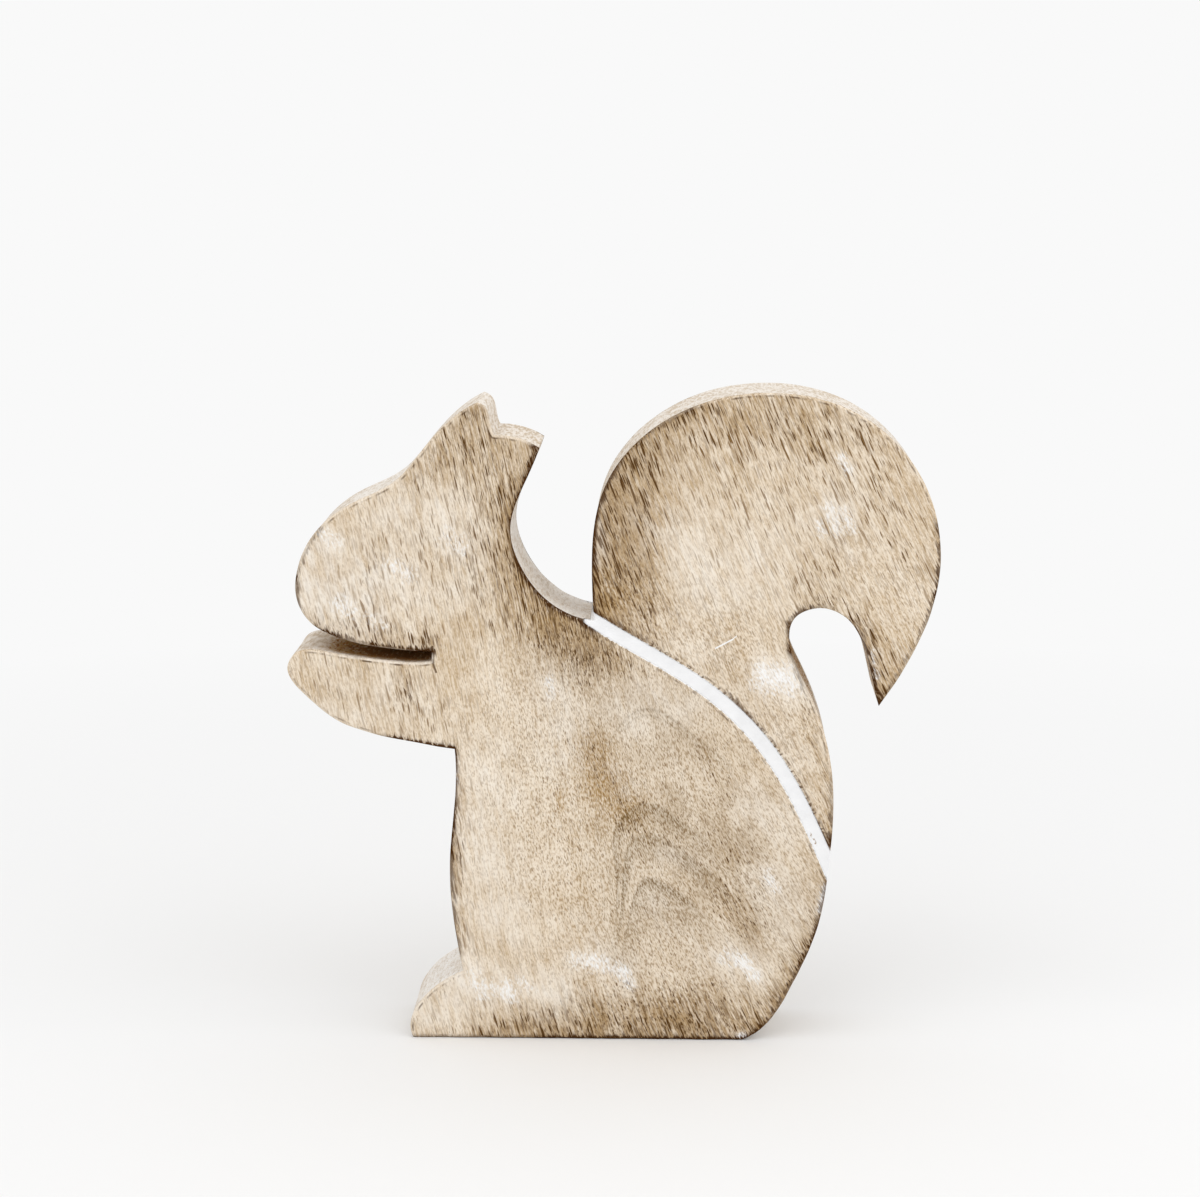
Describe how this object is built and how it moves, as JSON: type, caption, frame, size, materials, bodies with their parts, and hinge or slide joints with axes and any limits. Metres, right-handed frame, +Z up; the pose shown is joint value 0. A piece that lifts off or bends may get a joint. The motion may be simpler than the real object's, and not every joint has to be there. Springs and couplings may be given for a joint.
{
  "type": "squirrel figurine",
  "caption": "Flat wooden squirrel cut from thick board, sitting up with paws below its chin, its curled tail set off by a white inlaid line.",
  "frame": {"origin": "centre of the figure's box, at the height of the flat that it stands on", "axes": "+X from the nose towards the tail, -Y out of the front face, +Z up"},
  "size_m": [0.1475, 0.025, 0.15],
  "materials": {
    "body_wood": "whitewashed and waxed, dull, with dark open pores",
    "tail_wood": "whitewashed and waxed, dull, with dark open pores",
    "white_filler": "matte white filler, slightly uneven",
    "dowel_wood": "bare hardwood, fluted"
  },
  "bodies": {
    "root": {"body": "body_wood", "tail": "tail_wood", "white_seam": "white_filler", "upper_dowel": "dowel_wood", "lower_dowel": "dowel_wood"}
  },
  "joints": []
}
